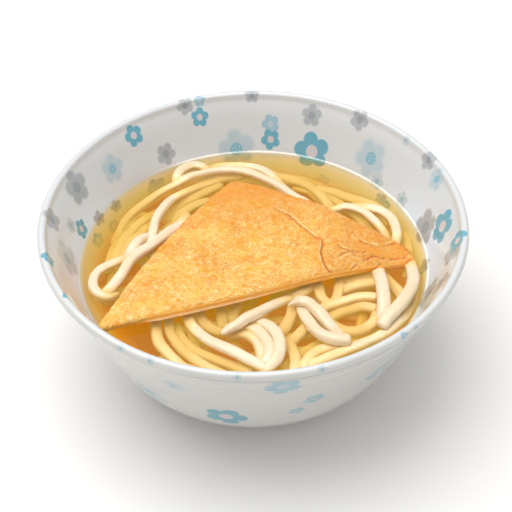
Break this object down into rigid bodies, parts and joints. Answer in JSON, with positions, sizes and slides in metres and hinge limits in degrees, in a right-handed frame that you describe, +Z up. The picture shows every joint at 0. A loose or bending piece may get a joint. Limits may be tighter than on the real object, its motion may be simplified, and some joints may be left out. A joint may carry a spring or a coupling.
{
  "type": "udon noodle bowl",
  "caption": "Round footed bowl of clear broth and thick wheat noodles with a triangle of simmered fried tofu on top.",
  "frame": {"origin": "on the bowl's axis, at the foot ring's flat underside", "axes": "+Z up along the bowl's axis, the diner at -Y, +X to the diner's right"},
  "size_m": [0.19, 0.19, 0.082],
  "materials": {
    "glaze": "glossy white glaze with scattered blue and grey flowers under it",
    "broth": "clear amber broth, glossy surface",
    "noodle": "smooth wet ivory wheat noodle",
    "fried_tofu": "finely wrinkled golden fried skin, moist"
  },
  "bodies": {
    "root": {"bowl": "glaze", "broth": "broth", "noodles": "noodle", "fried_tofu": "fried_tofu"}
  },
  "joints": []
}
